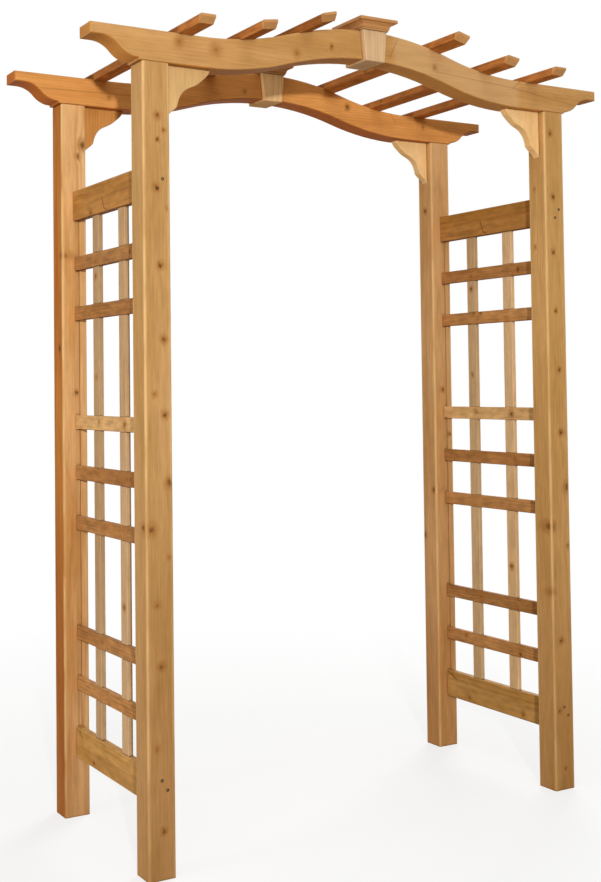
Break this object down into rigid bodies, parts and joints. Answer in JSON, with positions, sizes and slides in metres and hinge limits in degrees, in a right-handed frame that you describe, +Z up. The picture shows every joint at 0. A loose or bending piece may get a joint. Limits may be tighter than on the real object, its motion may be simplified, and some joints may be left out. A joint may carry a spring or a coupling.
{
  "type": "garden arbor",
  "caption": "Free-standing wooden garden arbor: square posts, arched beams with shaped tails and keystones, flat rafters across the top and open lattice sides.",
  "frame": {"origin": "ground level, in the middle of the plan", "axes": "+Z up, +X to the right along the beams seen from the front, +Y towards the back"},
  "size_m": [1.58, 0.86, 2.11],
  "materials": {
    "post_wood": "planed softwood with a honey stain, satin",
    "beam_wood": "planed softwood with a honey stain, satin",
    "rafter_wood": "planed softwood with a honey stain, satin",
    "bracket_wood": "planed softwood with a honey stain, satin",
    "keystone_wood": "planed softwood with a honey stain, satin",
    "rail_wood": "planed softwood with a honey stain, satin",
    "lattice_wood": "planed softwood with a honey stain, satin"
  },
  "bodies": {
    "root": {"back_beam": "beam_wood", "back_keystone": "keystone_wood", "back_keystone_cap": "keystone_wood", "back_left_bracket": "bracket_wood", "back_left_post": "post_wood", "back_right_bracket": "bracket_wood", "back_right_post": "post_wood", "front_beam": "beam_wood", "front_keystone": "keystone_wood", "front_keystone_cap": "keystone_wood", "front_left_bracket": "bracket_wood", "front_left_post": "post_wood", "front_right_bracket": "bracket_wood", "front_right_post": "post_wood", "left_lattice": "lattice_wood", "left_lower_rail": "rail_wood", "left_upper_rail": "rail_wood", "rafter_1": "rafter_wood", "rafter_2": "rafter_wood", "rafter_3": "rafter_wood", "rafter_4": "rafter_wood", "rafter_5": "rafter_wood", "rafter_6": "rafter_wood", "right_lattice": "lattice_wood", "right_lower_rail": "rail_wood", "right_upper_rail": "rail_wood"}
  },
  "joints": []
}
